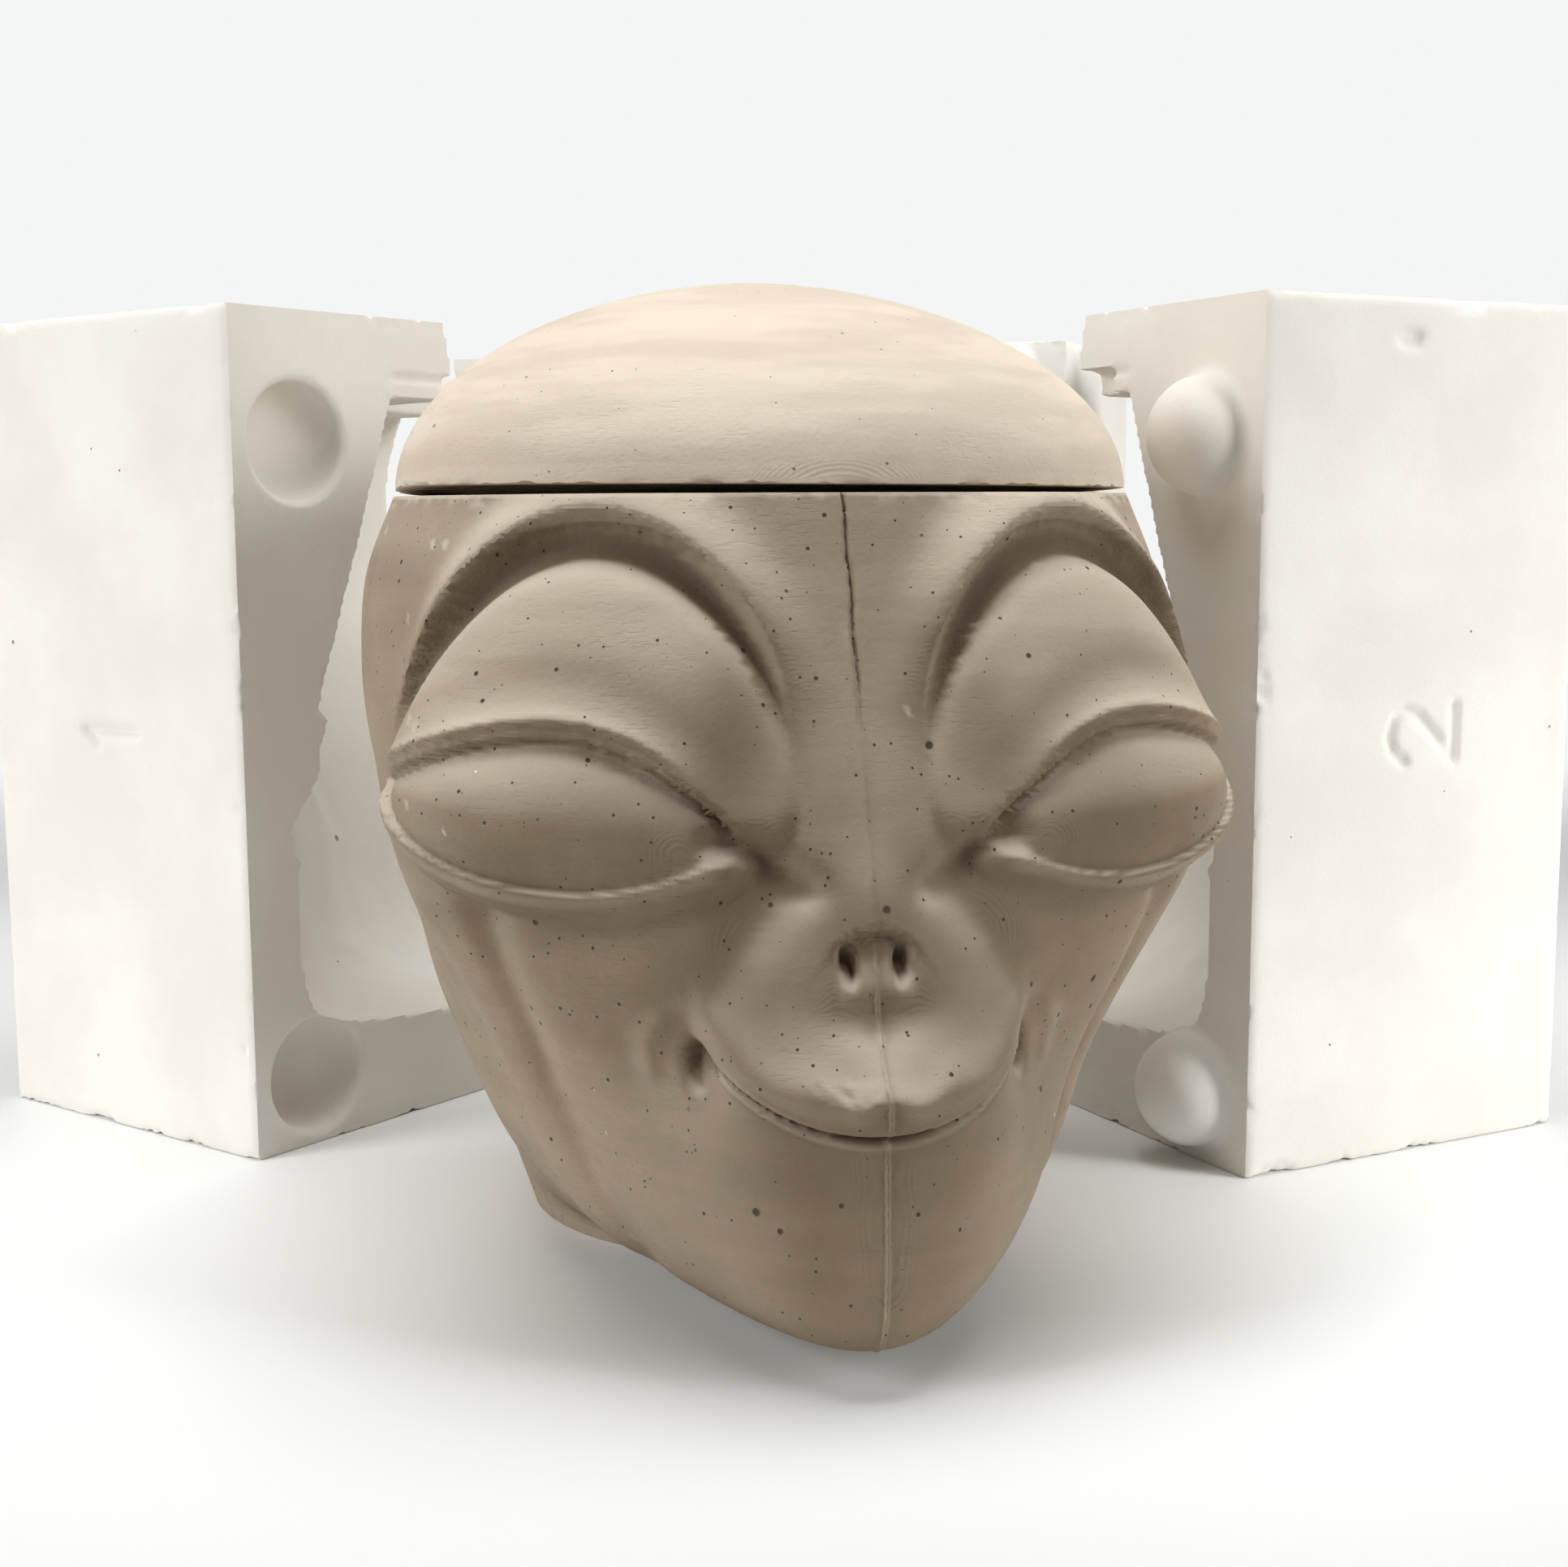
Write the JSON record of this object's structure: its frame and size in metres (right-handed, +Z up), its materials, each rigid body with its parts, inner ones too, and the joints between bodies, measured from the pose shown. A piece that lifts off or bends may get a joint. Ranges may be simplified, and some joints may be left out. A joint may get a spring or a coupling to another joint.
{
  "type": "slip casting plaster mould",
  "caption": "Plaster slip casting mould standing open in blocks with round keys, round the head-shaped lidded jar cast in it.",
  "frame": {"origin": "on the axis of the jar's rim, at the level of its foot and of the table", "axes": "+Z up, the jar's face looks along -Y, +X is the jar's left and the picture's right"},
  "size_m": [0.2851, 0.322, 0.1506],
  "materials": {
    "clay": "dry unfired grey-brown clay, matte, with pinholes",
    "clay_lid": "paler dry unfired clay, matte",
    "plaster": "cream pottery plaster, matte, a little chipped at the edges"
  },
  "bodies": {
    "jar": {"jar_body": "clay"},
    "lid": {"jar_lid": "clay_lid"},
    "left_block": {"left_mould_block": "plaster"},
    "right_block": {"right_mould_block": "plaster"},
    "back_block": {"back_mould_block": "plaster"}
  },
  "joints": [
    {"name": "lid_lift", "type": "slide", "parent": "jar", "child": "lid", "axis": [0, 0, 1], "range_m": [0, 0.06]},
    {"name": "left_mould_draw", "type": "slide", "parent": "jar", "child": "left_block", "axis": [-0.6743, 0.7385, 0], "range_m": [0, 0.08]},
    {"name": "right_mould_draw", "type": "slide", "parent": "jar", "child": "right_block", "axis": [0.9641, 0.2656, 0], "range_m": [0, 0.08]},
    {"name": "back_mould_draw", "type": "slide", "parent": "jar", "child": "back_block", "axis": [0.512, 0.859, 0], "range_m": [0, 0.08]}
  ]
}
